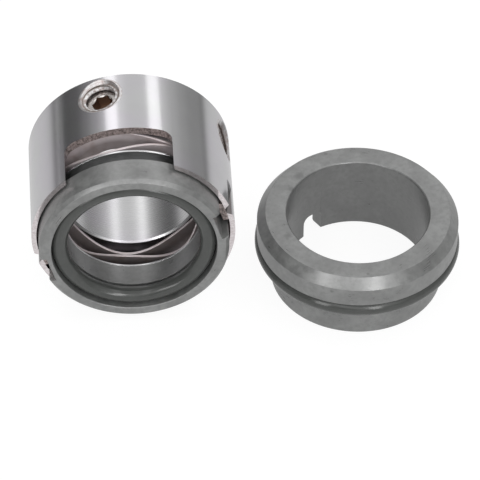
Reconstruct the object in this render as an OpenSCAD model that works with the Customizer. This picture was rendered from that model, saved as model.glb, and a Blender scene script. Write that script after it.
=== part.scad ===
// Mechanical seal for a pump shaft: a rotating head with a wave spring, and its stationary seat.
// The head lies on its side with its axis along Y and its sealing face towards -Y.
// The seat stands upright beside it on its rear face. Both touch the plane z = 0.
// Angles on the head run from +X towards +Z, as seen from its sealing face.

/* [Shaft] */
// Diameter of the shaft that the seal is made for
shaft_d = 28; // [20:0.5:50]
// Radial clearance between the shaft and the collar's bore
collar_fit = 0.1; // [0.05:0.01:0.3]
// Radial clearance between the shaft and the seal ring's bore
ring_fit = 0.4; // [0.2:0.05:1]
// Radial clearance between the shaft and the seat's bore
seat_fit = 1.2; // [0.6:0.1:2.5]

/* [Drive collar] */
// Length of the thick hub that holds the set screws
hub_len = 14.8; // [12:0.1:24]
// Bevel at the front of the hub's bore
hub_bevel = 0.35; // [0.2:0.05:0.8]
// Wall of the thin skirt round the seal ring
skirt_wall = 1.05; // [0.8:0.05:2.5]
// Length of the seal ring that the skirt covers
skirt_cover = 2; // [1:0.1:4]
// Step in radius from the skirt's bore to the spring chamber
chamber_step = 0.7; // [0.3:0.05:1.5]
// Depth of the spring chamber, from the shoulder to that step
chamber_depth = 3.7; // [2:0.1:5]
// Broken edge on the collar's rims
collar_edge = 0.3; // [0.1:0.05:0.6]

/* [Window] */
// Angle of the middle of the window
window_angle = 98.8; // [90:0.1:110]
// Width of the window, straight across
window_w = 22.9; // [10:0.1:28]
// Distance of the window's rear edge from the shoulder
window_back = 2; // [1:0.1:4]
// Corner radius of the window
window_corner = 2; // [0.5:0.1:3]

/* [Drive lugs] */
// Angle of the first lug; the second lies opposite
lug_angle = 17; // [0:0.5:30]
// Width of each lug
lug_w = 4.8; // [3:0.1:7]
// Depth of the lug inside the skirt, at the rim
lug_depth = 1.35; // [0.8:0.05:1.6]
// Length of the lug inside the skirt
lug_len = 4.2; // [2:0.1:4.6]
// Length of the pressed groove outside the skirt
groove_len = 8.1; // [5:0.1:9]
// Depth of the pressed groove at the rim
groove_depth = 1.2; // [0.6:0.05:1.6]
// Width of the pressed groove's floor
groove_floor = 1.2; // [0.6:0.1:2]
// Clearance on each side of a lug in its slot
lug_side_fit = 0.9; // [0.4:0.05:1.5]
// Clearance between a lug's tip and the slot's floor
lug_tip_fit = 0.8; // [0.4:0.05:1.2]

/* [Set screws] */
// Thread diameter of the set screws
screw_d = 8; // [4:0.5:8]
// Clearance between the shaft and the screws' tips, as delivered
screw_tip_fit = 0.3; // [0.15:0.05:1]
// Depth of the screws' ends below the collar's surface
screw_recess = 2.2; // [0.5:0.1:2.8]
// Radial clearance between screw and hole, thread left out
screw_fit = 0.05; // [0.02:0.01:0.1]
// Hexagon socket, across flats
socket_af = 4; // [2:0.5:4]
// Depth of the hexagon socket
socket_depth = 2.6; // [1.5:0.1:3]
// Countersink at the mouth of each screw hole
hole_bevel = 0.75; // [0.2:0.05:1.2]
// Metal between that countersink and the collar's back face
mouth_margin = 0.9; // [0.6:0.05:3]
// Angle of the upper screw
top_screw_angle = 107; // [100:0.5:125]
// Angle of the side screw
side_screw_angle = 17; // [0:0.5:30]

/* [Wave spring] */
// Height of the unloaded spring
spring_len = 6.4; // [4:0.1:8]
// Thickness of the flat wire
wire_t = 0.6; // [0.4:0.05:0.8]
// Clearance between the shaft and the spring's inner edge
spring_inner_fit = 0.6; // [0.4:0.05:1.2]
// Clearance between the chamber and the spring's outer edge
spring_outer_fit = 0.45; // [0.3:0.05:1]
// Whole waves in each turn; half a wave more makes crests meet
whole_waves = 3; // [2:1:5]
// Angle at which both ends of the spring lie
spring_end_angle = 342; // [330:1:350]
// Clearance at the spring's crests
crest_fit = 0.05; // [0.02:0.01:0.1]

/* [Thrust ring] */
// Thickness of the flat ring between the spring and the seal ring
thrust_t = 0.5; // [0.4:0.05:1.5]
// Clearance between the shaft and the thrust ring
thrust_inner_fit = 0.5; // [0.3:0.05:1]
// Clearance between the chamber and the thrust ring
thrust_outer_fit = 0.35; // [0.3:0.05:0.8]

/* [Seal ring] */
// Clearance between the seal ring and the skirt
guide_fit = 0.4; // [0.3:0.05:0.6]
// Wall between the O-ring's recess and the ring's outer face
nose_wall = 2.6; // [2:0.05:4]
// Length of the ring's full diameter
ring_len = 6.6; // [5:0.1:10]
// Length of the smaller rear shoulder
tail_len = 2.9; // [1.5:0.1:5]
// Wall of the smaller rear shoulder
tail_wall = 2.55; // [1.5:0.05:3.2]
// Chamfer round the sealing face
face_chamfer = 0.75; // [0.3:0.05:1.2]
// Small broken edges on the ring
ring_edge = 0.15; // [0.05:0.05:0.3]
// Play between the seal ring and the thrust ring
thrust_play = 0.02; // [0.01:0.01:0.1]

/* [Shaft O-ring] */
// Thickness of the O-ring's cord
shaft_cord_d = 3.45; // [2.4:0.05:4.5]
// How far the O-ring grips the shaft
shaft_squeeze = 0.02; // [0:0.01:0.2]
// Depth of the O-ring's front below the sealing face
o_ring_sunk = 0.65; // [0.3:0.05:1.5]

/* [Seat] */
// Height of the seat
seat_h = 18.1; // [14:0.1:26]
// Wall of the rear part of the seat
seat_wall = 3.15; // [2.2:0.05:5]
// Straight height of the wide rim
rim_h = 4.3; // [2.5:0.1:7]
// Height of the chamfer round the seat's face
seat_chamfer_h = 2.35; // [1:0.05:3]
// Width of that chamfer
seat_chamfer_w = 1.75; // [0.8:0.05:2.5]
// Small bevel at the bore of the seat
seat_bore_edge = 0.3; // [0.1:0.05:0.6]
// Small bevel at the foot of the seat
seat_foot_edge = 0.3; // [0.1:0.05:0.6]
// Angle of the slot for the locking pin
slot_angle = 124.7; // [90:0.1:160]
// Width of the slot
slot_w = 4.9; // [3:0.1:6]
// Height of the slot
slot_h = 5.3; // [3:0.1:6.5]
// Corner radius of the slot
slot_corner = 1.6; // [0.5:0.1:2]

/* [Seat O-ring] */
// Thickness of the O-ring's cord
seat_cord_d = 3.55; // [2.4:0.05:4.5]
// How far the O-ring stands proud of the wide rim
seat_proud = 0.42; // [0.2:0.02:0.8]
// Play between an O-ring and the faces that it seats on
o_ring_play = 0.02; // [0.01:0.01:0.1]

/* [Placement] */
// Clear space between the head and the seat
stand_apart = 4.7; // [2:0.1:20]
// Distance of the seat's axis in front of the collar's back face
seat_forward = 18.6; // [10:0.1:24]

/* [Hidden] */
$fn = 96;
over = 1;

// Radii of the head, worked outwards from the shaft
shaft_r = shaft_d / 2;
collar_bore_r = shaft_r + collar_fit;
ring_bore_r = shaft_r + ring_fit;
shaft_o_r = shaft_r - shaft_squeeze + shaft_cord_d / 2;
recess_r = shaft_o_r + shaft_cord_d / 2 + o_ring_play;
ring_r = recess_r + nose_wall;
tail_r = ring_bore_r + tail_wall;
skirt_bore_r = ring_r + guide_fit;
collar_r = skirt_bore_r + skirt_wall;
chamber_r = skirt_bore_r - chamber_step;
spring_in_r = shaft_r + spring_inner_fit;
spring_out_r = chamber_r - spring_outer_fit;
thrust_in_r = shaft_r + thrust_inner_fit;
thrust_out_r = chamber_r - thrust_outer_fit;
lug_tip_r = skirt_bore_r - lug_depth;
slot_floor_r = lug_tip_r - lug_tip_fit;

// Places along the head, measured from the collar's back face
thrust_back = hub_len + spring_len + 2 * crest_fit;
ring_back = thrust_back + thrust_t + thrust_play;
ring_step = ring_back + tail_len;
ring_face = ring_step + ring_len;
collar_len = ring_step + skirt_cover;
chamber_end = hub_len + chamber_depth;
window_start = hub_len + window_back;
o_ring_mid = ring_face - o_ring_sunk - shaft_cord_d / 2;
recess_floor = o_ring_mid - shaft_cord_d / 2 - o_ring_play;

// Set screws, measured from the shaft's axis
screw_r = screw_d / 2;
screw_hole_r = screw_r + screw_fit;
screw_from_back = screw_hole_r + hole_bevel + mouth_margin;
screw_top = collar_r - screw_recess;
screw_tip = shaft_r + screw_tip_fit;
screw_len = screw_top - screw_tip;
screw_end_bevel = screw_d * 0.08;
cup_r = screw_d * 0.27;
cup_depth = screw_d * 0.13;

// Waves of the spring
waves = whole_waves + 0.5;
wave_rise = (spring_len - 2 * wire_t - crest_fit) / 4;
turn_rise = wire_t + 2 * wave_rise + crest_fit;
first_mid = hub_len + crest_fit + wire_t / 2 + wave_rise;
turns = 2;
turn_steps = 112;
climb_share = 1 / (2 * waves);

// Radii and heights of the seat
seat_bore_r = shaft_r + seat_fit;
foot_r = seat_bore_r + seat_wall;
seat_o_r = foot_r + o_ring_play + seat_cord_d / 2;
seat_out_r = seat_o_r + seat_cord_d / 2;
rim_r = seat_out_r - seat_proud;
rim_bottom = seat_h - seat_chamfer_h - rim_h;
seat_o_mid = rim_bottom - o_ring_play - seat_cord_d / 2;

// Places on the ground plane, about the middle of the whole set
set_w = 2 * collar_r + stand_apart + 2 * seat_out_r;
set_front = min(seat_forward - ring_face, -seat_out_r);
set_back = max(seat_forward, seat_out_r);
set_mid = (set_front + set_back) / 2;
head_x = collar_r - set_w / 2;
head_y = seat_forward - set_mid;
seat_x = set_w / 2 - seat_out_r;
seat_y = -set_mid;

// Stands children, drawn from the back face along +Z, where the lying head is
module on_head() {
    translate([head_x, head_y, collar_r]) rotate([90, 0, 0]) children();
}

// Turns a profile of [radius, height] points into a ring
module turned(points) {
    rotate_extrude($fn = 180) polygon(points);
}

// Turns children, drawn along +X, to an angle round the head
module at_angle(angle) {
    rotate([0, 0, angle]) children();
}

// Collar as turned: thick hub, spring chamber and thin skirt
module collar_blank() {
    turned([
        [collar_bore_r + collar_edge, 0],
        [collar_r - collar_edge, 0],
        [collar_r, collar_edge],
        [collar_r, collar_len],
        [skirt_bore_r, collar_len],
        [skirt_bore_r, chamber_end],
        [chamber_r, chamber_end],
        [chamber_r, hub_len],
        [collar_bore_r + hub_bevel, hub_len],
        [collar_bore_r, hub_len - hub_bevel],
        [collar_bore_r, collar_edge]
    ]);
}

// Milled window with two rounded corners, open towards the rim
module window_cut() {
    inner_w = window_w / 2 - window_corner;
    cut_len = collar_len - window_start + over;
    at_angle(window_angle) rotate([0, 90, 0]) linear_extrude(collar_r + over) {
        translate([-window_start - cut_len, -window_w / 2])
            square([cut_len - window_corner, window_w]);
        translate([-window_start - cut_len, -inner_w])
            square([cut_len, 2 * inner_w]);
        for (side = [-1, 1])
            translate([-window_start - window_corner, side * inner_w])
                circle(window_corner, $fn = 48);
    }
}

// Inner side of a pressed lug: a wedge that grows towards the rim
module lug_inside(angle) {
    buried = skirt_wall / 2;
    at_angle(angle) rotate([90, 0, 0]) translate([0, 0, -lug_w / 2])
        linear_extrude(lug_w) polygon([
            [skirt_bore_r + buried, collar_len - lug_len],
            [skirt_bore_r + buried, collar_len],
            [lug_tip_r, collar_len],
            [lug_tip_r, collar_len - lug_len / 4],
            [skirt_bore_r, collar_len - lug_len]
        ]);
}

// Outer side of a pressed lug: a tapering groove that deepens towards the rim
module lug_groove(angle) {
    slope = groove_depth / groove_len;
    at_angle(angle) intersection() {
        rotate([90, 0, 0]) translate([0, 0, -lug_w]) linear_extrude(2 * lug_w) polygon([
            [collar_r, collar_len - groove_len],
            [collar_r + over, collar_len - groove_len],
            [collar_r + over, collar_len + over],
            [collar_r - groove_depth - slope * over, collar_len + over]
        ]);
        linear_extrude(collar_len + 2 * over) polygon([
            [collar_r - groove_depth - over, -groove_floor / 2],
            [collar_r - groove_depth, -groove_floor / 2],
            [collar_r + over, -lug_w / 2],
            [collar_r + over, lug_w / 2],
            [collar_r - groove_depth, groove_floor / 2],
            [collar_r - groove_depth - over, groove_floor / 2]
        ]);
    }
}

// Hole for a set screw, with a countersunk mouth
module screw_hole(angle) {
    at_angle(angle) translate([0, 0, screw_from_back]) rotate([0, 90, 0]) {
        cylinder(h = collar_r + over, r = screw_hole_r);
        translate([0, 0, collar_r - hole_bevel])
            cylinder(h = hole_bevel + over, r1 = screw_hole_r, r2 = screw_hole_r + hole_bevel + over);
    }
}

module drive_collar() {
    color([0.78, 0.79, 0.80]) on_head() difference() {
        union() {
            collar_blank();
            for (half_turn = [0, 180]) lug_inside(lug_angle + half_turn);
        }
        window_cut();
        for (half_turn = [0, 180]) lug_groove(lug_angle + half_turn);
        screw_hole(top_screw_angle);
        screw_hole(side_screw_angle);
    }
}

// Set screw with a hexagon socket and a cup point, drawn from its tip along +Z
module set_screw() {
    difference() {
        turned([
            [0, cup_depth],
            [cup_r, 0],
            [screw_r - screw_end_bevel, 0],
            [screw_r, screw_end_bevel],
            [screw_r, screw_len - screw_end_bevel],
            [screw_r - screw_end_bevel, screw_len],
            [0, screw_len]
        ]);
        translate([0, 0, screw_len - socket_depth]) rotate([0, 0, 90])
            cylinder(h = socket_depth + over, d = socket_af / cos(30), $fn = 6);
    }
}

module screw_at(angle) {
    color([0.62, 0.58, 0.54]) on_head() at_angle(angle)
        translate([screw_tip, 0, screw_from_back]) rotate([0, 90, 0]) set_screw();
}

module top_set_screw() {
    screw_at(top_screw_angle);
}

module side_set_screw() {
    screw_at(side_screw_angle);
}

// Middle of the wire at a share of turns: waves on a level that climbs between the two turns
function eased(x) = x <= 0 ? 0 : x >= 1 ? 1 : x * x * (3 - 2 * x);
function wire_mid(turn) =
    first_mid
    + turn_rise * eased((turn - 1) / climb_share + 0.5)
    - wave_rise * sin(360 * waves * turn);

// Corners of the flat wire's section at one step
function wire_section(step) =
    let (turn = step / turn_steps)
    let (angle = spring_end_angle - 360 * turn)
    let (mid = wire_mid(turn))
    [for (corner = [[spring_in_r, -1], [spring_out_r, -1], [spring_out_r, 1], [spring_in_r, 1]])
        [corner[0] * cos(angle), corner[0] * sin(angle), mid + corner[1] * wire_t / 2]];

// Coiled wave spring: the crests of the first turn meet the troughs of the second
module wave_spring() {
    last = turns * turn_steps;
    points = [for (step = [0:last]) each wire_section(step)];
    sides = [for (step = [0:last - 1]) for (corner = [0:3])
        let (a = 4 * step + corner)
        let (b = 4 * step + (corner + 1) % 4)
        each [[a, a + 4, b], [b, a + 4, b + 4]]];
    ends = [[0, 1, 2, 3], [4 * last + 3, 4 * last + 2, 4 * last + 1, 4 * last]];
    color([0.72, 0.66, 0.64]) on_head() polyhedron(points, concat(sides, ends));
}

module thrust_ring() {
    color([0.80, 0.80, 0.80]) on_head() turned([
        [thrust_in_r, thrust_back],
        [thrust_out_r, thrust_back],
        [thrust_out_r, thrust_back + thrust_t],
        [thrust_in_r, thrust_back + thrust_t]
    ]);
}

// Seal ring with a recess for the O-ring, a raised sealing face and two slots for the lugs
module seal_ring() {
    slot_half = lug_w / 2 + lug_side_fit;
    color([0.48, 0.49, 0.48]) on_head() difference() {
        turned([
            [ring_bore_r + ring_edge, ring_back],
            [tail_r - ring_edge, ring_back],
            [tail_r, ring_back + ring_edge],
            [tail_r, ring_step],
            [ring_r - ring_edge, ring_step],
            [ring_r, ring_step + ring_edge],
            [ring_r, ring_face - face_chamfer],
            [ring_r - face_chamfer, ring_face],
            [recess_r + ring_edge, ring_face],
            [recess_r, ring_face - ring_edge],
            [recess_r, recess_floor],
            [ring_bore_r, recess_floor],
            [ring_bore_r, ring_back + ring_edge]
        ]);
        for (half_turn = [0, 180]) at_angle(lug_angle + half_turn)
            translate([slot_floor_r, -slot_half, ring_back - over])
                cube([ring_r, 2 * slot_half, ring_face - ring_back + 2 * over]);
    }
}

// O-ring drawn as a true round cord about the Z axis
module o_ring(middle_r, cord_d, height) {
    rotate_extrude($fn = 180) translate([middle_r, height]) circle(d = cord_d, $fn = 48);
}

module shaft_o_ring() {
    color([0.30, 0.31, 0.30]) on_head() o_ring(shaft_o_r, shaft_cord_d, o_ring_mid);
}

// Slot across the foot of the seat, with rounded upper corners
module seat_slot() {
    inner_w = slot_w / 2 - slot_corner;
    rotate([0, 0, slot_angle]) rotate([90, 0, 90]) linear_extrude(foot_r + over) {
        translate([-slot_w / 2, -over]) square([slot_w, slot_h - slot_corner + over]);
        translate([-inner_w, -over]) square([2 * inner_w, slot_h + over]);
        for (side = [-1, 1])
            translate([side * inner_w, slot_h - slot_corner]) circle(slot_corner, $fn = 48);
    }
}

module stationary_seat() {
    color([0.50, 0.51, 0.50]) translate([seat_x, seat_y, 0]) difference() {
        turned([
            [seat_bore_r + seat_bore_edge, 0],
            [foot_r - seat_foot_edge, 0],
            [foot_r, seat_foot_edge],
            [foot_r, rim_bottom],
            [rim_r, rim_bottom],
            [rim_r, rim_bottom + rim_h],
            [rim_r - seat_chamfer_w, seat_h],
            [seat_bore_r + seat_bore_edge, seat_h],
            [seat_bore_r, seat_h - seat_bore_edge],
            [seat_bore_r, seat_bore_edge]
        ]);
        seat_slot();
    }
}

module seat_o_ring() {
    color([0.28, 0.29, 0.28]) translate([seat_x, seat_y, 0]) o_ring(seat_o_r, seat_cord_d, seat_o_mid);
}

drive_collar();
top_set_screw();
side_set_screw();
wave_spring();
thrust_ring();
seal_ring();
shaft_o_ring();
stationary_seat();
seat_o_ring();
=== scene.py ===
"""Dresses a packed mechanical seal: its finishes, its fine pieces, and the studio that it stands in."""

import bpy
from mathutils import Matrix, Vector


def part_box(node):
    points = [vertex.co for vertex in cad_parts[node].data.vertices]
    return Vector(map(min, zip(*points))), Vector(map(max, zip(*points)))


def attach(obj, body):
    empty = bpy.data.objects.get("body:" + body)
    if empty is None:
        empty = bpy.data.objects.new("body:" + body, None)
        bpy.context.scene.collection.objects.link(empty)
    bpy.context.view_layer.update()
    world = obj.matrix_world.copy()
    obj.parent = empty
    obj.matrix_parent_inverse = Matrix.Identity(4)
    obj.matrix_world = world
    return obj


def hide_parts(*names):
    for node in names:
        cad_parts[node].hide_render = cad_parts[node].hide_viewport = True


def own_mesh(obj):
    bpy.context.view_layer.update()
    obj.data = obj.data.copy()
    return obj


bl_info = {
    "name": "Mechanical seal",
    "version": (1, 0, 0),
    "blender": (4, 5, 0),
    "location": "3D View > Sidebar > Seal",
    "description": "Finishes, threads, wave spring and studio for a pump shaft seal",
    "category": "Mesh",
}

import math

import bpy
from bpy.props import FloatProperty, FloatVectorProperty, IntProperty, PointerProperty
from mathutils import Matrix, Vector

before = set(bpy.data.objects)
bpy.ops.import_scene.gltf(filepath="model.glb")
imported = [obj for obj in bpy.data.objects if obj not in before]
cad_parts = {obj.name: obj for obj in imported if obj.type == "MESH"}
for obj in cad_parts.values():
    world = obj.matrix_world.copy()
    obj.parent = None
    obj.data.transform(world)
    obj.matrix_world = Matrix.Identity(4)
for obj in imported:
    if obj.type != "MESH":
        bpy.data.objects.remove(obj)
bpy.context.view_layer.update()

MM = 0.001
FULL_TURN = 2 * math.pi

COLLAR_BODY = "collar_and_seat"
HEAD_LOW, HEAD_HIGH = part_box("drive_collar")
SEAT_LOW, SEAT_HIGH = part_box("stationary_seat")
# The head is worked on in millimetres, from the middle of its back face, with Z along its axis to the front
HEAD_BACK = Vector(((HEAD_LOW.x + HEAD_HIGH.x) / 2, HEAD_HIGH.y, (HEAD_LOW.z + HEAD_HIGH.z) / 2))
HEAD = Matrix.Translation(HEAD_BACK) @ Matrix.Rotation(math.radians(90), 4, "X") @ Matrix.Scale(MM, 4)
SEAT_MIDDLE = Vector(((SEAT_LOW.x + SEAT_HIGH.x) / 2, (SEAT_LOW.y + SEAT_HIGH.y) / 2, 0))

# Axes that the head lies along, and that the seat and each drawn screw stand along
ALONG_Y, ALONG_Z = 1, 2

# Places on the head in millimetres, as in the solids
HUB_LEN = 14.8
SPRING_LEN = 6.4
SPRING_IN_R = 14.6
SPRING_OUT_R = 19.3
SPRING_END_ANGLE = 342
CREST_FIT = 0.05
WAVES = 3.5
SCREW_FROM_BACK = 5.7
SCREW_TIP = 14.3
SCREW_LEN = 5.0
SCREW_R = 4.0
HOLE_R = 4.05
CONE_START = 20.75
MOUTH_R = 4.86
COLLAR_R = 21.5
SKIRT_BORE_R = 20.45
RIM_START = 26.5
LUG_START = 19.0
WINDOW_START = 16.8
RING_BORE_R = 14.45
SEAT_BORE_R = 15.25
SCREWS = {"top": ("top_set_screw", "top_screw", 107), "side": ("side_set_screw", "side_screw", 17)}

# Ends of the set screws in millimetres
THREAD_PLAY = 0.04
END_CHAMFER = 0.64
CUP_DEPTH, CUP_R = 1.04, 2.16
SOCKET_DEPTH = 2.6
TOOL_OVER = 0.4
LEAD_IN_LOW_R, LEAD_IN_TOP_R, LEAD_IN_HEIGHT, LEAD_IN_RAISE = 1.95, 2.75, 0.8, 0.1
ROD_OVER = 0.5

# The sleeve that carries the thread of a screw hole, in millimetres
SLEEVE_IN_R = 2.4
SLEEVE_FIT = 0.01
SLEEVE_GAP = 0.03

# The solids whose corners are finely broken. The collar's aren't, because it left marks beside its screw holes
BROKEN_EDGES = ("thrust_ring", "seal_ring", "stationary_seat")
EDGE_ANGLE = 32
SMOOTH_ANGLE = 35
EDGE_STEPS = 2
SEAM_GAP = 0.000002
MERGE = 0.0001
ROLL_STEPS = 4

# Radii and reaches in millimetres between which a finish goes over into the next one
BORE_TO_WALLS = (14.5, 14.7)
BORE_TO_HUB = (14.6, 15.2)
HEAD_TO_SCREW_SIDE = (10.0, 11.0)
PAINTED_SHADE_TO_CLEAN_WIRE = (16.6, 18.6)
SOCKET_TO_RIM = (2.32, 2.42)
CREST_TO_ROOT = (3.60, 3.95)

# Colours of tinted and sheared metal, of the screw sockets, and of painted shade on the spring's flanks and in
# the thread roots
STEEL_BLUSH = (1.0, 0.972, 1.015, 1.0)
RIM_DULL = (0.74, 0.67, 0.68, 1.0)
RIM_BRIGHT = (0.93, 0.88, 0.89, 1.0)
FLANK_PAINTED_SHADE = (0.11, 0.085, 0.08, 1.0)
SOCKET_DARK = (0.22, 0.15, 0.11, 1.0)
SOCKET_BROWN = (0.42, 0.31, 0.25, 1.0)
THREAD_ROOT_PAINTED_SHADE = (0.22, 0.18, 0.16, 1.0)
WHITE = (1.0, 1.0, 1.0, 1.0)

# Handling marks on the seat: (distance from its axis, angle, height, size), in millimetres and degrees
SEAT_STAINS = (
    (16.5, 135.9, 18.1, 1.1),
    (15.7, 151.0, 18.1, 0.8),
    (16.7, -156.5, 18.1, 0.9),
    (18.9, 107.3, 18.1, 0.45),
    (18.75, -87.8, 18.1, 0.45),
    (21.5, -109.0, 14.9, 0.35),
)


# Sizes and colours that a user would change


class SealSizes(bpy.types.PropertyGroup):
    wire_thickness: FloatProperty(
        name="Wire thickness", description="Thickness of the spring's flat wire, in millimetres", default=0.6,
        min=0.4, max=0.7)
    wire_rounding: FloatProperty(
        name="Wire rounding", description="Radius of the rolled edges of the wire, in millimetres",
        default=0.18, min=0.02, max=0.28)
    spring_steps: IntProperty(
        name="Steps per turn", description="Sections along each turn of the spring", default=112, min=40,
        max=200)
    thread_pitch: FloatProperty(
        name="Thread pitch", description="Pitch of the set screws' thread, in millimetres", default=1.25,
        min=0.8, max=1.5)
    thread_depth: FloatProperty(
        name="Thread depth", description="Depth of the set screws' thread, in millimetres", default=0.65,
        min=0.3, max=0.8)
    socket_width: FloatProperty(
        name="Socket width", description="Hexagon socket of the set screws across its flats, in millimetres",
        default=4.0, min=2.0, max=5.0)
    edge_break: FloatProperty(
        name="Edge break", description="Width of the broken edges on the solid pieces", default=0.00008,
        min=0.00002, max=0.0003, subtype="DISTANCE", unit="LENGTH")


class SealColours(bpy.types.PropertyGroup):
    steel: FloatVectorProperty(
        name="Collar steel", description="Colour of the turned collar", default=(0.60, 0.60, 0.605),
        subtype="COLOR", min=0, max=1)
    cut_steel: FloatVectorProperty(
        name="Cut edges", description="Colour of the milled and sheared edges", default=(0.42, 0.35, 0.335),
        subtype="COLOR", min=0, max=1)
    spring: FloatVectorProperty(
        name="Spring steel", description="Colour of the rolled wire", default=(0.70, 0.635, 0.645),
        subtype="COLOR", min=0, max=1)
    screw: FloatVectorProperty(
        name="Screw steel", description="Colour of the set screws", default=(0.62, 0.59, 0.57),
        subtype="COLOR", min=0, max=1)
    carbide: FloatVectorProperty(
        name="Carbide", description="Colour of the seal ring and the seat", default=(0.150, 0.153, 0.150),
        subtype="COLOR", min=0, max=1)
    rubber: FloatVectorProperty(
        name="Rubber", description="Colour of the O-rings", default=(0.060, 0.063, 0.060), subtype="COLOR",
        min=0, max=1)
    floor: FloatVectorProperty(
        name="Floor", description="Colour of the plain floor", default=(0.80, 0.80, 0.80), subtype="COLOR",
        min=0, max=1)


class SealStudio(bpy.types.PropertyGroup):
    strip_light: FloatProperty(
        name="Strip lamps", description="Brightness of the two strip lamps", default=0.78, min=0.0, max=10.0)
    front_light: FloatProperty(
        name="Front lamps", description="Brightness of the soft lamps at the front", default=1.0, min=0.0,
        max=10.0)
    tent_light: FloatProperty(
        name="Light tent", description="Brightness of the tent round the object", default=1.0, min=0.0, max=5.0)
    lens: FloatProperty(
        name="Lens", description="Focal length of the camera", default=352.92, min=50.0, max=800.0,
        subtype="DISTANCE_CAMERA")
    distance: FloatProperty(
        name="Distance", description="Distance from the camera to the object", default=1.0209, min=0.3,
        max=3.0, subtype="DISTANCE", unit="LENGTH")
    azimuth: FloatProperty(
        name="Azimuth", description="Direction that the camera looks in, from +Y towards +X",
        default=math.radians(3.685), subtype="ANGLE", unit="ROTATION")
    elevation: FloatProperty(
        name="Elevation", description="Height of the camera above the horizon", default=math.radians(44.747),
        subtype="ANGLE", unit="ROTATION")
    roll: FloatProperty(
        name="Roll", description="Turn of the camera about its own axis", default=math.radians(0.802),
        subtype="ANGLE", unit="ROTATION")
    aim: FloatVectorProperty(
        name="Aim", description="Point that the camera looks at", default=(-0.00055, 0.01077, 0.0),
        subtype="TRANSLATION", unit="LENGTH")


# Modelling steps shared by the pieces


def deselect_all():
    if bpy.context.object and bpy.context.object.mode != "OBJECT":
        bpy.ops.object.mode_set(mode="OBJECT")
    bpy.ops.object.select_all(action="DESELECT")


def make_active(piece):
    deselect_all()
    piece.select_set(True)
    bpy.context.view_layer.objects.active = piece


def edit_all(piece):
    make_active(piece)
    bpy.ops.object.mode_set(mode="EDIT")
    bpy.ops.mesh.select_all(action="SELECT")


def close_up():
    """Merges doubled points of the mesh in edit mode and turns its faces outwards."""
    bpy.ops.mesh.select_all(action="SELECT")
    bpy.ops.mesh.remove_doubles(threshold=MERGE)
    bpy.ops.mesh.normals_make_consistent(inside=False)
    bpy.ops.object.mode_set(mode="OBJECT")


def draw_line(name, points):
    """Draws a line through points: one point is placed, and extruded to each next one."""
    deselect_all()
    bpy.ops.mesh.primitive_plane_add(size=1)
    line = bpy.context.object
    line.name = name
    bpy.ops.object.mode_set(mode="EDIT")
    bpy.ops.mesh.select_all(action="SELECT")
    bpy.ops.mesh.merge(type="CENTER")
    bpy.ops.transform.translate(value=points[0])
    for here, there in zip(points, points[1:]):
        step = [b - a for a, b in zip(here, there)]
        bpy.ops.mesh.extrude_region_move(TRANSFORM_OT_translate={"value": step})
    bpy.ops.object.mode_set(mode="OBJECT")
    return line


def turn_profile(name, profile, steps=96):
    """Spins a profile of (radius, height) points into a closed turned piece about Z."""
    piece = draw_line(name, [(radius, 0, height) for radius, height in profile])
    edit_all(piece)
    bpy.ops.mesh.spin(steps=steps, angle=FULL_TURN, center=(0, 0, 0), axis=(0, 0, 1))
    close_up()
    return piece


def wind_thread(name, root_r, crest_r, pitch, low, high):
    """Winds a thread up to a rod, cut flat at low and high, with its crest at whole pitches."""
    land = pitch / 8
    slope = (pitch - 3 * land) / 2
    start = low - pitch - (low % pitch)
    profile = [
        (root_r, 0, start - pitch / 2),
        (root_r, 0, start - pitch / 2 + land),
        (crest_r, 0, start - pitch / 2 + land + slope),
        (crest_r, 0, start + pitch / 2 - land - slope),
        (root_r, 0, start + pitch / 2 - land),
        (root_r, 0, start + pitch / 2),
    ]
    rod = draw_line(name, profile)
    winding = rod.modifiers.new("Winding", "SCREW")
    winding.axis = "Z"
    winding.angle = FULL_TURN
    winding.screw_offset = pitch
    winding.iterations = math.ceil((high - low) / pitch) + 4
    winding.steps = winding.render_steps = 72
    winding.use_smooth_shade = False
    make_active(rod)
    bpy.ops.object.modifier_apply(modifier=winding.name)
    edit_all(rod)
    bpy.ops.mesh.remove_doubles(threshold=MERGE)
    bpy.ops.mesh.select_all(action="SELECT")
    bpy.ops.mesh.bisect(plane_co=(0, 0, low), plane_no=(0, 0, 1), use_fill=True, clear_inner=True)
    bpy.ops.mesh.select_all(action="SELECT")
    bpy.ops.mesh.bisect(plane_co=(0, 0, high), plane_no=(0, 0, 1), use_fill=True, clear_outer=True)
    close_up()
    return rod


def turn_selected(angle):
    """Turns what is selected about Z. Without a window, a positive angle turns from +Y towards +X."""
    bpy.ops.transform.rotate(value=angle, orient_axis="Z", orient_type="GLOBAL", center_override=(0, 0, 0))


def cut_with(piece, tool, operation):
    """Cuts the piece with a tool body, which is then thrown away."""
    cut = piece.modifiers.new("Cut", "BOOLEAN")
    cut.operation = operation
    cut.solver = "EXACT"
    cut.object = tool
    make_active(piece)
    bpy.ops.object.modifier_apply(modifier=cut.name)
    bpy.data.objects.remove(tool)


def finish_piece(piece, place, body, material):
    """Puts a piece that was drawn in millimetres where it belongs, and hands it to its body."""
    piece.matrix_world = place
    make_active(piece)
    bpy.ops.object.transform_apply(location=True, rotation=True, scale=True)
    bpy.ops.object.shade_smooth_by_angle(angle=math.radians(SMOOTH_ANGLE))
    piece.data.materials.clear()
    piece.data.materials.append(material)
    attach(piece, body)
    deselect_all()
    return piece


# Building blocks for the finishes


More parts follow.
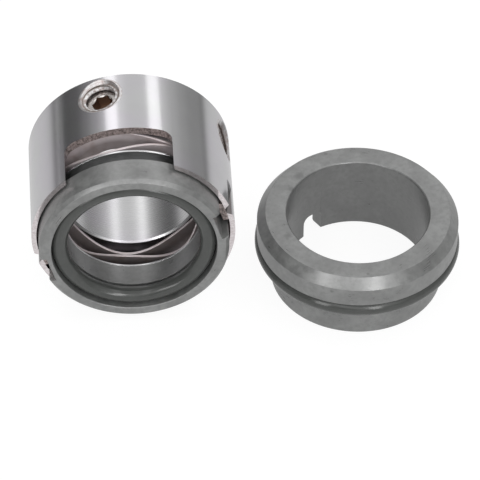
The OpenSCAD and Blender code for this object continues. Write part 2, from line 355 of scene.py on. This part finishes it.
class Finish:
    """A procedural material that is built up node by node."""

    def __init__(self, name):
        self.material = bpy.data.materials.new(name)
        self.material.use_nodes = True
        self.tree = self.material.node_tree
        self.tree.nodes.clear()
        self.output = self.add("ShaderNodeOutputMaterial")
        self.place = self.add("ShaderNodeTexCoord").outputs["Object"]

    def add(self, kind, **settings):
        node = self.tree.nodes.new(kind)
        for key, value in settings.items():
            setattr(node, key, value)
        return node

    def join(self, source, target):
        self.tree.links.new(source, target)

    def feed(self, socket, value):
        if isinstance(value, bpy.types.NodeSocket):
            self.join(value, socket)
        else:
            socket.default_value = value

    def maths(self, operation, first, second=0.0):
        node = self.add("ShaderNodeMath", operation=operation)
        self.feed(node.inputs[0], first)
        self.feed(node.inputs[1], second)
        return node.outputs[0]

    def times(self, first, second):
        return self.maths("MULTIPLY", first, second)

    def plus(self, first, second):
        return self.maths("ADD", first, second)

    def most(self, first, second):
        return self.maths("MAXIMUM", first, second)

    def vector(self, operation, first, second=(0, 0, 0)):
        node = self.add("ShaderNodeVectorMath", operation=operation)
        self.feed(node.inputs[0], first)
        self.feed(node.inputs[1], second)
        return node.outputs["Value" if operation in ("LENGTH", "DISTANCE", "DOT_PRODUCT") else "Vector"]

    def ramp(self, value, low, high, out_low=0.0, out_high=1.0):
        node = self.add("ShaderNodeMapRange", interpolation_type="SMOOTHSTEP")
        self.feed(node.inputs["Value"], value)
        node.inputs["From Min"].default_value = low
        node.inputs["From Max"].default_value = high
        node.inputs["To Min"].default_value = out_low
        node.inputs["To Max"].default_value = out_high
        return node.outputs["Result"]

    def noise(self, where, scale, detail=2.0, roughness=0.5):
        node = self.add("ShaderNodeTexNoise")
        self.feed(node.inputs["Vector"], where)
        node.inputs["Scale"].default_value = scale
        node.inputs["Detail"].default_value = detail
        node.inputs["Roughness"].default_value = roughness
        return node.outputs["Fac"]

    def mix(self, share, first, second):
        node = self.add("ShaderNodeMix", data_type="RGBA")
        self.feed(node.inputs["Factor"], share)
        self.feed(node.inputs["A"], first)
        self.feed(node.inputs["B"], second)
        return node.outputs["Result"]

    def tinted(self, colour, tint):
        node = self.add("ShaderNodeMix", data_type="RGBA", blend_type="MULTIPLY")
        node.inputs["Factor"].default_value = 1.0
        self.feed(node.inputs["A"], colour)
        self.feed(node.inputs["B"], tint)
        return node.outputs["Result"]

    def mapped(self, middle, turn=(0, 0, 0)):
        """Object coordinates from a middle, in millimetres."""
        node = self.add("ShaderNodeMapping", vector_type="TEXTURE")
        self.join(self.place, node.inputs["Vector"])
        node.inputs["Location"].default_value = middle
        node.inputs["Rotation"].default_value = turn
        node.inputs["Scale"].default_value = (MM, MM, MM)
        return node.outputs["Vector"]

    def turned_place(self, mapped, axis):
        """(radius, distance along the axis) round one axis of the mapped place, for marks left by turning."""
        flat = [0.0 if i == axis else 1.0 for i in range(3)]
        radius = self.vector("LENGTH", self.vector("MULTIPLY", mapped, flat))
        split = self.add("ShaderNodeSeparateXYZ")
        self.join(mapped, split.inputs[0])
        return radius, split.outputs[axis]

    def ahead_of(self, along, depth, blend):
        """1 where a place of the head lies further to the front than a depth, 0 behind it."""
        return self.ramp(along, -depth, blend - depth, 1.0, 0.0)

    def lathe_lines(self, radius, along, fineness):
        """Fine rings that a lathe or a lapping plate leaves: a pattern of radius and length alone."""
        both = self.add("ShaderNodeCombineXYZ")
        self.join(radius, both.inputs[0])
        self.join(along, both.inputs[1])
        return self.noise(both.outputs[0], fineness, 4.0, 0.6)

    def bumps(self, height, depth, distance):
        node = self.add("ShaderNodeBump")
        node.inputs["Strength"].default_value = depth
        node.inputs["Distance"].default_value = distance
        self.feed(node.inputs["Height"], height)
        return node.outputs["Normal"]

    def surface(self, **inputs):
        shader = self.add("ShaderNodeBsdfPrincipled")
        for key, value in inputs.items():
            self.feed(shader.inputs[key.replace("_", " ")], value)
        self.join(shader.outputs[0], self.output.inputs["Surface"])
        return self.material


def opaque(colour):
    return (*colour, 1.0)


def shaded(colour, share):
    return (*(min(1.0, c * share) for c in colour), 1.0)


def collar_finish(colours):
    """Fine turned and polished steel, with dull brown walls where the window and the lugs were cut."""
    made = Finish("turned_collar_steel")
    place = made.mapped(HEAD_BACK)
    radius, along = made.turned_place(place, ALONG_Y)
    lines = made.lathe_lines(radius, along, 5.0)
    cloud = made.noise(place, 0.16, 3.0)
    grain = made.noise(place, 1.9, 3.0, 0.7)

    # The sheared walls: those that face the front, and the sides of the window
    normal = made.add("ShaderNodeNewGeometry").outputs["True Normal"]
    forward = made.ramp(made.vector("DOT_PRODUCT", normal, (0, -1, 0)), 0.90, 0.97)
    faces_front = made.times(forward, made.ahead_of(along, WINDOW_START - 0.4, 0.8))
    flat_out = made.vector("NORMALIZE", made.vector("MULTIPLY", place, (1.0, 0.0, 1.0)))
    outwards = made.vector("DOT_PRODUCT", normal, flat_out)
    sideways = made.ramp(made.maths("ABSOLUTE", outwards), 0.4, 0.6, 1.0, 0.0)
    window_wall = made.times(sideways, made.ahead_of(along, WINDOW_START - 0.2, 0.4))
    sheared_faces = made.times(made.most(faces_front, window_wall), made.ramp(radius, *BORE_TO_WALLS))
    skirt = made.ramp(radius, SKIRT_BORE_R - 0.15, SKIRT_BORE_R - 0.05)
    rim = made.times(made.ahead_of(along, RIM_START, 0.2), skirt)
    rim_face = made.times(sheared_faces, rim)
    cut = made.times(sheared_faces, made.ramp(rim, 0.0, 1.0, 1.0, 0.0))

    # The pockets over the lugs, and the countersunk mouths of the screw holes with the drill's chatter
    below_skin = made.ramp(radius, COLLAR_R - 0.3, COLLAR_R - 0.1, 1.0, 0.0)
    low_outside = made.times(made.ramp(outwards, 0.0, 0.3), below_skin)
    pressed = made.times(low_outside, made.ahead_of(along, LUG_START, 1.0))
    mouths, nearest = 0.0, 100.0
    for _node, _body, angle in SCREWS.values():
        out = (math.cos(math.radians(angle)), 0.0, math.sin(math.radians(angle)))
        mouth = made.vector("SUBTRACT", place, (0.0, -SCREW_FROM_BACK, 0.0))
        off_axis = made.vector("LENGTH", made.vector("CROSS_PRODUCT", mouth, out))
        nearest = made.maths("MINIMUM", off_axis, nearest)
        near_hole = made.ramp(off_axis, MOUTH_R - 0.03, MOUTH_R + 0.03, 1.0, 0.0)
        on_its_side = made.ramp(made.vector("DOT_PRODUCT", mouth, out), *HEAD_TO_SCREW_SIDE)
        mouths = made.most(made.times(near_hole, on_its_side), mouths)
    rings = made.add("ShaderNodeCombineXYZ")
    made.join(nearest, rings.inputs[0])
    streaks = made.noise(rings.outputs[0], 4.0, 3.0, 0.7)
    blotches = made.noise(place, 0.7, 2.0, 0.6)
    chatter = made.plus(made.times(streaks, 0.55), made.times(blotches, 0.55))

    # Colours: polished skin with a faint blush, painted shade in the pockets, bright mouths and rim, brown
    # sheared walls
    polished = made.mix(cloud, shaded(colours.steel, 0.93), shaded(colours.steel, 1.03))
    blush = made.ramp(made.noise(place, 0.09, 2.0), 0.4, 0.65)
    polished = made.tinted(polished, made.mix(blush, WHITE, STEEL_BLUSH))
    # Painted shade: the pockets over the lugs get a darkened copy of the cut steel's brown
    polished = made.mix(made.times(pressed, 0.75), polished, shaded(colours.cut_steel, 0.35))
    drilled = made.mix(
        made.ramp(chatter, 0.42, 0.66), shaded(colours.cut_steel, 1.15), shaded(colours.steel, 1.3))
    bright_rim = made.mix(made.ramp(grain, 0.3, 0.7), RIM_DULL, RIM_BRIGHT)
    sheared = made.mix(
        made.ramp(grain, 0.32, 0.68), shaded(colours.cut_steel, 0.30), shaded(colours.cut_steel, 1.35))
    colour = made.mix(mouths, polished, drilled)
    colour = made.mix(rim_face, colour, bright_rim)
    colour = made.mix(cut, colour, sheared)

    # Roughness and bump: the skin is smooth, the bore duller, the cut walls and mouths coarse
    bore = made.ramp(radius, *BORE_TO_HUB, 1.0, 0.0)
    smooth = made.plus(made.ramp(lines, 0.3, 0.7, 0.14, 0.17), made.times(bore, 0.12))
    rough = made.plus(smooth, made.times(made.most(cut, mouths), 0.25))
    coarse = made.add("ShaderNodeBump")
    coarse.inputs["Distance"].default_value = 0.0001
    made.join(made.most(made.times(cut, 0.8), made.times(mouths, 0.5)), coarse.inputs["Strength"])
    made.join(made.plus(made.times(grain, cut), made.times(chatter, mouths)), coarse.inputs["Height"])
    made.join(made.bumps(lines, 0.04, 0.00001), coarse.inputs["Normal"])
    return made.surface(
        Base_Color=colour, Metallic=made.ramp(cut, 0.0, 1.0, 1.0, 0.6), Roughness=rough,
        Normal=coarse.outputs["Normal"])


def ground_steel_finish(colours):
    """Bright ground steel of the thrust ring."""
    made = Finish("ground_thrust_ring_steel")
    place = made.mapped(HEAD_BACK)
    radius, along = made.turned_place(place, ALONG_Y)
    lines = made.lathe_lines(radius, along, 7.0)
    colour = made.mix(lines, shaded(colours.steel, 1.0), shaded(colours.steel, 1.25))
    return made.surface(
        Base_Color=colour, Metallic=1.0, Roughness=made.ramp(lines, 0.3, 0.7, 0.18, 0.28),
        Normal=made.bumps(lines, 0.15, 0.00002))


def spring_finish(colours):
    """Rolled wire: long marks along it, a warm tint in patches, and painted shade on the flanks between its
    edges.
    """
    made = Finish("rolled_spring_steel")
    place = made.mapped(HEAD_BACK)
    radius, _along = made.turned_place(place, ALONG_Y)
    stretched = made.add("ShaderNodeCombineXYZ")
    made.join(radius, stretched.inputs[0])
    streaks = made.noise(stretched.outputs[0], 3.5, 3.0, 0.6)
    patches = made.noise(place, 0.35, 3.0, 0.6)
    base = made.mix(streaks, shaded(colours.spring, 0.86), shaded(colours.spring, 1.12))
    warm = (colours.spring[0] * 0.75, colours.spring[1] * 0.68, colours.spring[2] * 0.64, 1.0)
    colour = made.mix(made.ramp(patches, 0.45, 0.75, 0.0, 0.7), base, warm)
    # Painted shade: the flat flanks of the wire, away from its edges, are darkened where the turns shade each
    # other
    off_edge = made.ramp(radius, SPRING_IN_R + 0.02, SPRING_IN_R + 0.25)
    darkened = made.times(off_edge, made.ramp(radius, *PAINTED_SHADE_TO_CLEAN_WIRE, 1.0, 0.0))
    colour = made.mix(made.times(darkened, 0.72), colour, FLANK_PAINTED_SHADE)
    return made.surface(
        Base_Color=colour, Metallic=0.62, Roughness=made.ramp(patches, 0.3, 0.7, 0.34, 0.46),
        Normal=made.bumps(streaks, 0.12, 0.00004))


def screw_finish(colours, name, where):
    """Machined steel, going over to a darker brown inside the socket."""
    made = Finish(name)
    place = made.mapped(where.translation, where.to_euler())
    radius, along = made.turned_place(place, ALONG_Z)
    grain = made.noise(place, 2.5, 3.0, 0.6)
    inside = made.ramp(radius, *SOCKET_TO_RIM, 1.0, 0.0)
    sunk = made.ramp(along, SCREW_LEN - 0.5, SCREW_LEN - 0.25, 1.0, 0.0)
    # Inside the socket, below its rim, the colour goes over to a darker brown
    darkened = made.times(inside, sunk)
    bright = made.mix(grain, shaded(colours.screw, 0.85), shaded(colours.screw, 1.1))
    brown = made.mix(grain, SOCKET_DARK, SOCKET_BROWN)
    colour = made.mix(darkened, bright, brown)
    rough = made.plus(made.ramp(grain, 0.3, 0.7, 0.16, 0.26), made.times(darkened, 0.2))
    return made.surface(
        Base_Color=colour, Metallic=1.0, Roughness=rough, Normal=made.bumps(grain, 0.15, 0.00004))


def tapped_finish(colours, name, where):
    """Freshly cut thread with painted light: painted glints on the bright crests and painted shade in the dark
    roots.
    """
    made = Finish(name)
    place = made.mapped(where.translation, where.to_euler())
    radius, _along = made.turned_place(place, ALONG_Z)
    grain = made.noise(place, 1.4, 3.0, 0.6)
    # Painted light: the crests are coloured brighter than the steel as painted glints, and the roots go dark as
    # painted shade
    crest = made.mix(made.ramp(grain, 0.35, 0.65), shaded(colours.cut_steel, 0.9), shaded(colours.steel, 1.5))
    colour = made.mix(made.ramp(radius, *CREST_TO_ROOT), crest, THREAD_ROOT_PAINTED_SHADE)
    return made.surface(Base_Color=colour, Metallic=0.6, Roughness=0.3, Normal=made.bumps(grain, 0.3, 0.00006))


def carbide_finish(colours, name, middle, axis, bore, stains=()):
    """Lapped carbide: satin grey with cloudy patches, faint lapping rings, handling marks and painted shade in
    the bore.
    """
    made = Finish(name)
    place = made.mapped(middle)
    radius, along = made.turned_place(place, axis)
    lines = made.lathe_lines(radius, along, 4.0)
    cloud = made.noise(place, 0.20, 3.0, 0.6)
    grain = made.noise(place, 0.9, 2.0, 0.6)
    shade = made.mix(made.ramp(cloud, 0.25, 0.75), shaded(colours.carbide, 0.70), shaded(colours.carbide, 1.24))
    colour = made.mix(made.ramp(grain, 0.35, 0.75, 0.0, 0.55), shade, shaded(colours.carbide, 0.50))
    # Painted shade: the colour of the bore wall is darkened, for the lesser light inside it
    bore_painted_shade = made.ramp(radius, bore, bore + 0.15, 0.72, 1.0)
    colour = made.tinted(colour, bore_painted_shade)
    marks = 0.0
    wobble = made.noise(place, 1.1, 3.0, 0.6)
    for distance, angle, height, size in stains:
        spot = (distance * math.cos(math.radians(angle)), distance * math.sin(math.radians(angle)), height)
        off = made.vector("DISTANCE", place, spot)
        ragged = made.times(off, made.plus(made.times(wobble, 2.4), -0.2))
        marks = made.most(made.ramp(ragged, size * 0.2, size * 1.3, 0.75, 0.0), marks)
    if stains:
        colour = made.mix(marks, colour, shaded(colours.carbide, 0.22))
    rough = made.ramp(made.plus(cloud, made.times(lines, 0.5)), 0.5, 1.0, 0.27, 0.38)
    return made.surface(Base_Color=colour, Metallic=0.0, Roughness=rough, IOR=2.3)


def rubber_finish(colours):
    """Satin rubber with a little dust."""
    made = Finish("satin_rubber")
    dust = made.noise(made.mapped((0, 0, 0)), 0.5, 3.0, 0.6)
    colour = made.mix(dust, shaded(colours.rubber, 0.85), shaded(colours.rubber, 1.2))
    return made.surface(
        Base_Color=colour, Roughness=made.ramp(dust, 0.3, 0.7, 0.14, 0.20), IOR=1.52)


def screw_place(angle):
    """Where a screw drawn from its tip along +Z goes, at an angle round the head."""
    out = Matrix.Translation((SCREW_TIP, 0, SCREW_FROM_BACK)) @ Matrix.Rotation(math.radians(90), 4, "Y")
    return HEAD @ Matrix.Rotation(math.radians(angle), 4, "Z") @ out


def wire_height(turn, thickness):
    """Middle of the spring's wire at a share of turns: waves on a level that climbs between the two turns."""
    rise = (SPRING_LEN - 2 * thickness - CREST_FIT) / 4
    first = HUB_LEN + CREST_FIT + thickness / 2 + rise
    climb = min(1.0, max(0.0, (turn - 1) * 2 * WAVES + 0.5))
    eased = climb * climb * (3 - 2 * climb)
    return first + (thickness + 2 * rise + CREST_FIT) * eased - rise * math.sin(FULL_TURN * WAVES * turn)


# One operator for each piece or group of like pieces


class SEAL_OT_finish_solids(bpy.types.Operator):
    """Gives the solid pieces of the seal their finishes and broken edges"""

    bl_idname = "seal.finish_solids"
    bl_label = "Finish the solid pieces"

    def execute(self, context):
        colours = context.scene.seal_colours
        rubber = rubber_finish(colours)
        ring_carbide = carbide_finish(colours, "seal_ring_carbide", HEAD_BACK, ALONG_Y, RING_BORE_R)
        seat_carbide = carbide_finish(
            colours, "seat_carbide", SEAT_MIDDLE, ALONG_Z, SEAT_BORE_R, SEAT_STAINS)
        finishes = {
            "drive_collar": (collar_finish(colours), "collar_steel"),
            "thrust_ring": (ground_steel_finish(colours), "washer_steel"),
            "seal_ring": (ring_carbide, "ring_carbide"),
            "stationary_seat": (seat_carbide, "seat_carbide"),
            "shaft_o_ring": (rubber, "o_ring_rubber"),
            "seat_o_ring": (rubber, "o_ring_rubber"),
        }
        for node, (material, slot) in finishes.items():
            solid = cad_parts[node]
            solid.data.materials.clear()
            solid.data.materials.append(material)
            if node in BROKEN_EDGES:
                seams = solid.modifiers.new("closed_seams", "WELD")
                seams.merge_threshold = SEAM_GAP
                soften = solid.modifiers.new("broken_edges", "BEVEL")
                soften.width = context.scene.seal_sizes.edge_break
                soften.segments = EDGE_STEPS
                soften.limit_method = "ANGLE"
                soften.angle_limit = math.radians(EDGE_ANGLE)
                soften.use_clamp_overlap = False
                soften.harden_normals = False
                even = solid.modifiers.new("even_shading", "WEIGHTED_NORMAL")
                even.keep_sharp = False
        return {"FINISHED"}


class SEAL_OT_wave_spring(bpy.types.Operator):
    """Models the wave spring from its flat wire with rolled edges"""

    bl_idname = "seal.wave_spring"
    bl_label = "Wave spring"

    def execute(self, context):
        sizes = context.scene.seal_sizes
        thickness = sizes.wire_thickness
        steps = sizes.spring_steps
        deselect_all()
        middle = ((SPRING_IN_R + SPRING_OUT_R) / 2, 0, wire_height(0, thickness))
        bpy.ops.mesh.primitive_plane_add(size=1, location=middle, rotation=(math.radians(90), 0, 0))
        wire = context.object
        wire.name = "wave_spring_wire"
        wire.scale = (SPRING_OUT_R - SPRING_IN_R, thickness, 1)
        bpy.ops.object.transform_apply(location=True, rotation=True, scale=True)
        edit_all(wire)
        bpy.ops.mesh.bevel(
            offset=sizes.wire_rounding, offset_type="OFFSET", segments=ROLL_STEPS, affect="VERTICES")
        turn_selected(-math.radians(SPRING_END_ANGLE))
        here = wire_height(0, thickness)
        for step in range(1, 2 * steps + 1):
            there = wire_height(step / steps, thickness)
            bpy.ops.mesh.extrude_region_move(TRANSFORM_OT_translate={"value": (0, 0, there - here)})
            turn_selected(FULL_TURN / steps)
            here = there
        close_up()
        finish_piece(wire, HEAD, COLLAR_BODY, spring_finish(context.scene.seal_colours))
        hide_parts("wave_spring")
        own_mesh(wire)
        return {"FINISHED"}


class SEAL_OT_set_screws(bpy.types.Operator):
    """Models the two set screws with their thread, cup point and hexagon socket"""

    bl_idname = "seal.set_screws"
    bl_label = "Set screws"

    def execute(self, context):
        sizes = context.scene.seal_sizes
        for side, (node, body, angle) in SCREWS.items():
            crest = SCREW_R - THREAD_PLAY
            end_r = crest - END_CHAMFER
            blank = turn_profile(side + "_screw_body", [
                (0, CUP_DEPTH), (CUP_R, 0), (end_r, 0), (crest, END_CHAMFER),
                (crest, SCREW_LEN - END_CHAMFER), (end_r, SCREW_LEN), (0, SCREW_LEN)])
            deselect_all()
            bpy.ops.mesh.primitive_cylinder_add(
                vertices=6, radius=sizes.socket_width / 2 / math.cos(math.radians(30)),
                depth=SOCKET_DEPTH + TOOL_OVER, location=(0, 0, SCREW_LEN + (TOOL_OVER - SOCKET_DEPTH) / 2))
            cut_with(blank, context.object, "DIFFERENCE")
            deselect_all()
            bpy.ops.mesh.primitive_cone_add(
                vertices=48, radius1=LEAD_IN_LOW_R, radius2=LEAD_IN_TOP_R, depth=LEAD_IN_HEIGHT,
                location=(0, 0, SCREW_LEN + LEAD_IN_RAISE))
            cut_with(blank, context.object, "DIFFERENCE")
            rod = wind_thread(
                side + "_screw_thread", crest - sizes.thread_depth, crest, sizes.thread_pitch,
                -ROD_OVER, SCREW_LEN + ROD_OVER)
            cut_with(blank, rod, "INTERSECT")
            where = screw_place(angle)
            material = screw_finish(context.scene.seal_colours, side + "_screw_steel", where)
            finish_piece(blank, where, body, material)
            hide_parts(node)
        return {"FINISHED"}


class SEAL_OT_hole_threads(bpy.types.Operator):
    """Models the tapped thread that shows in the screw holes above the screws"""

    bl_idname = "seal.hole_threads"
    bl_label = "Tapped threads"

    def execute(self, context):
        sizes = context.scene.seal_sizes
        low, high = SCREW_LEN + SLEEVE_GAP, CONE_START - SCREW_TIP
        out_r = HOLE_R + SLEEVE_FIT
        for side, (_node, _body, angle) in SCREWS.items():
            sleeve = turn_profile(side + "_hole_thread", [
                (SLEEVE_IN_R, low), (out_r, low), (out_r, high), (SLEEVE_IN_R, high), (SLEEVE_IN_R, low)])
            rod = wind_thread(
                side + "_tap", SCREW_R - sizes.thread_depth, SCREW_R + THREAD_PLAY / 2, sizes.thread_pitch,
                low - ROD_OVER, high + ROD_OVER)
            cut_with(sleeve, rod, "DIFFERENCE")
            where = screw_place(angle)
            material = tapped_finish(context.scene.seal_colours, side + "_tapped_steel", where)
            finish_piece(sleeve, where, COLLAR_BODY, material)
        return {"FINISHED"}


class SEAL_OT_studio(bpy.types.Operator):
    """Sets up the plain pale floor, the light tent, the two strip lamps and the camera"""

    bl_idname = "seal.studio"
    bl_label = "Studio"

    # The floor in metres: its own light, its share of the lamps' light, and the painted reflection that metal
    # sees of it near and far
    FLOOR_R = 3.0
    FLOOR_DROP = 0.00002
    FLOOR_GLOW = 0.90
    FLOOR_LIT = (0.15, 0.15, 0.15, 1.0)
    MIRRORED_NEAR, MIRRORED_FAR = (0.12, 0.58), (0.55, 0.14)

    # Brightness of the tent by direction round the Y axis, in degrees from +X up to +Z
    TENT = (
        (-180, 0.75), (-90, 0.85), (-20, 0.75), (-8, 0.45), (2, 0.34), (14, 0.35), (26, 0.43),
        (38, 0.56), (50, 0.76), (60, 0.86), (75, 0.80), (90, 0.80), (100, 0.95), (110, 0.9),
        (119, 0.62), (130, 0.40), (141, 0.24), (152, 0.14), (168, 0.115), (177, 0.30), (180, 0.4),
    )

    # Strip lamps over the head, along Y: (name, direction in degrees from +X up to +Z)
    STRIP_LAMPS = (("right_strip_lamp", 61), ("left_strip_lamp", 109.5))
    STRIP_HEIGHT, STRIP_LENGTH, STRIP_WIDTH = 0.62, 2.4, 0.24

    # Front lamps: (name, azimuth from -Y towards +X, elevation, width, height, share of the front light)
    FRONT_LAMPS = (
        ("front_lamp_wide", 0, 32, 2.2, 0.6, 0.45),
        ("front_lamp_left", -37, 20, 0.30, 0.80, 3.6),
        ("front_lamp_right", 16, 20, 0.24, 0.80, 5.0),
    )
    FRONT_DISTANCE = 1.3

    def floor(self, context):
        """A plain floor, which the camera sees as a nearly white one that keeps the shadow; for metal it keeps
        the shadow under a painted glow that fades from near to far.
        """
        colours = context.scene.seal_colours
        deselect_all()
        bpy.ops.mesh.primitive_circle_add(
            vertices=128, radius=self.FLOOR_R, fill_type="NGON", location=(0, 0, -self.FLOOR_DROP))
        floor = context.object
        floor.name = "floor"
        bpy.ops.object.transform_apply(location=True, rotation=True, scale=True)
        made = Finish("pale_floor")
        path = made.add("ShaderNodeLightPath")
        plain = made.add("ShaderNodeBsdfDiffuse")
        plain.inputs["Color"].default_value = opaque(colours.floor)
        seen = made.add("ShaderNodeBsdfDiffuse")
        seen.inputs["Color"].default_value = self.FLOOR_LIT
        away = made.vector("LENGTH", made.place)
        (near, bright), (far, dim) = self.MIRRORED_NEAR, self.MIRRORED_FAR
        # Painted reflection: for glossy rays the floor's glow is brighter near the object and dimmer far from
        # it
        painted_reflection_falloff = made.maths("SUBTRACT", made.ramp(away, near, far, bright, dim), self.FLOOR_GLOW)
        painted_reflection_glow = made.times(path.outputs["Is Glossy Ray"], painted_reflection_falloff)
        glow = made.add("ShaderNodeEmission")
        made.join(made.plus(painted_reflection_glow, self.FLOOR_GLOW), glow.inputs["Strength"])
        both = made.add("ShaderNodeAddShader")
        made.join(seen.outputs[0], both.inputs[0])
        made.join(glow.outputs[0], both.inputs[1])
        shown = made.most(path.outputs["Is Camera Ray"], path.outputs["Is Glossy Ray"])
        shown = made.most(shown, path.outputs["Is Transmission Ray"])
        choice = made.add("ShaderNodeMixShader")
        made.join(shown, choice.inputs[0])
        made.join(plain.outputs[0], choice.inputs[1])
        made.join(both.outputs[0], choice.inputs[2])
        made.join(choice.outputs[0], made.output.inputs["Surface"])
        made.material.cycles.emission_sampling = "NONE"
        floor.data.materials.append(made.material)

    def tent(self, context):
        """Light from all round in bands along Y, with white behind the object for the camera."""
        world = bpy.data.worlds.new("light_tent")
        context.scene.world = world
        world.use_nodes = True
        tree = world.node_tree
        tree.nodes.clear()
        where = tree.nodes.new("ShaderNodeTexCoord")
        split = tree.nodes.new("ShaderNodeSeparateXYZ")
        tree.links.new(where.outputs["Generated"], split.inputs[0])
        angle = tree.nodes.new("ShaderNodeMath")
        angle.operation = "ARCTAN2"
        tree.links.new(split.outputs["Z"], angle.inputs[0])
        tree.links.new(split.outputs["X"], angle.inputs[1])
        share = tree.nodes.new("ShaderNodeMapRange")
        share.inputs["From Min"].default_value = -math.pi
        share.inputs["From Max"].default_value = math.pi
        tree.links.new(angle.outputs[0], share.inputs["Value"])
        ramp = tree.nodes.new("ShaderNodeValToRGB")
        ramp.color_ramp.interpolation = "EASE"
        tree.links.new(share.outputs["Result"], ramp.inputs[0])
        stops = ramp.color_ramp.elements
        for count, (degrees, level) in enumerate(self.TENT):
            position = (degrees + 180) / 360
            stop = stops[count] if count < 2 else stops.new(position)
            stop.position = position
            stop.color = (level, level, level, 1.0)
        light = tree.nodes.new("ShaderNodeBackground")
        light.inputs["Strength"].default_value = context.scene.seal_studio.tent_light
        tree.links.new(ramp.outputs["Color"], light.inputs["Color"])
        white = tree.nodes.new("ShaderNodeBackground")
        white.inputs["Color"].default_value = WHITE
        path = tree.nodes.new("ShaderNodeLightPath")
        choice = tree.nodes.new("ShaderNodeMixShader")
        tree.links.new(path.outputs["Is Camera Ray"], choice.inputs[0])
        tree.links.new(light.outputs[0], choice.inputs[1])
        tree.links.new(white.outputs[0], choice.inputs[2])
        out = tree.nodes.new("ShaderNodeOutputWorld")
        tree.links.new(choice.outputs[0], out.inputs["Surface"])

    def area_lamp(self, context, name, place, turn, width, height, brightness):
        """A flat lamp as bright as a white card, times brightness."""
        deselect_all()
        bpy.ops.object.light_add(type="AREA", location=place)
        lamp = context.object
        lamp.name = name
        lamp.rotation_euler = turn
        lamp.data.shape = "RECTANGLE"
        lamp.data.size = width
        lamp.data.size_y = height
        lamp.data.energy = brightness * math.pi * width * height
        lamp.visible_camera = False

    def strip_lamp(self, context, name, degrees):
        direction = Vector((math.cos(math.radians(degrees)), 0, math.sin(math.radians(degrees))))
        reach = self.STRIP_HEIGHT / direction.z
        place = Vector((HEAD_BACK.x, 0, HEAD_BACK.z)) + direction * reach
        self.area_lamp(
            context, name, place, (0, math.radians(90 - degrees), 0),
            self.STRIP_WIDTH * reach, self.STRIP_LENGTH, context.scene.seal_studio.strip_light)

    def front_lamp(self, context, name, azimuth, elevation, width, height, share):
        around, up = math.radians(azimuth), math.radians(elevation)
        direction = Vector((math.sin(around) * math.cos(up), -math.cos(around) * math.cos(up), math.sin(up)))
        self.area_lamp(
            context, name, direction * self.FRONT_DISTANCE, direction.to_track_quat("Z", "Y").to_euler(),
            width, height, context.scene.seal_studio.front_light * share)

    def camera(self, context):
        """The camera, at the photograph's viewing angle."""
        studio = context.scene.seal_studio
        deselect_all()
        across = Vector((math.sin(studio.azimuth), math.cos(studio.azimuth), 0))
        away = -across * math.cos(studio.elevation) + Vector((0, 0, math.sin(studio.elevation)))
        bpy.ops.object.camera_add(location=Vector(studio.aim) + away * studio.distance)
        camera = context.object
        camera.rotation_mode = "QUATERNION"
        look = (-away).to_track_quat("-Z", "Y")
        camera.rotation_quaternion = look @ Matrix.Rotation(studio.roll, 4, "Z").to_quaternion()
        camera.data.lens = studio.lens
        camera.data.sensor_width = 36.0
        camera.data.clip_start = 0.05
        camera.data.clip_end = 20.0
        context.scene.camera = camera

    def execute(self, context):
        self.camera(context)
        self.floor(context)
        self.tent(context)
        for lamp in self.STRIP_LAMPS:
            self.strip_lamp(context, *lamp)
        for lamp in self.FRONT_LAMPS:
            self.front_lamp(context, *lamp)
        context.scene.view_settings.view_transform = "Standard"
        deselect_all()
        return {"FINISHED"}


PIECES = (SEAL_OT_finish_solids, SEAL_OT_wave_spring, SEAL_OT_set_screws, SEAL_OT_hole_threads, SEAL_OT_studio)


class SEAL_PT_panel(bpy.types.Panel):
    """Sizes, colours and build steps of the mechanical seal"""

    bl_idname = "SEAL_PT_panel"
    bl_label = "Mechanical seal"
    bl_space_type = "VIEW_3D"
    bl_region_type = "UI"
    bl_category = "Seal"

    def draw(self, context):
        for group in (context.scene.seal_sizes, context.scene.seal_colours, context.scene.seal_studio):
            box = self.layout.box()
            for name in group.bl_rna.properties.keys():
                if name not in ("rna_type", "name"):
                    box.prop(group, name)
        for piece in PIECES:
            self.layout.operator(piece.bl_idname)


CLASSES = (SealSizes, SealColours, SealStudio, *PIECES, SEAL_PT_panel)


def register():
    for cls in CLASSES:
        bpy.utils.register_class(cls)
    bpy.types.Scene.seal_sizes = PointerProperty(type=SealSizes)
    bpy.types.Scene.seal_colours = PointerProperty(type=SealColours)
    bpy.types.Scene.seal_studio = PointerProperty(type=SealStudio)


def unregister():
    del bpy.types.Scene.seal_studio
    del bpy.types.Scene.seal_colours
    del bpy.types.Scene.seal_sizes
    for cls in reversed(CLASSES):
        bpy.utils.unregister_class(cls)


def main():
    register()
    bpy.ops.seal.studio()
    bpy.ops.seal.finish_solids()
    bpy.ops.seal.wave_spring()
    bpy.ops.seal.set_screws()
    bpy.ops.seal.hole_threads()


if __name__ == "__main__":
    main()
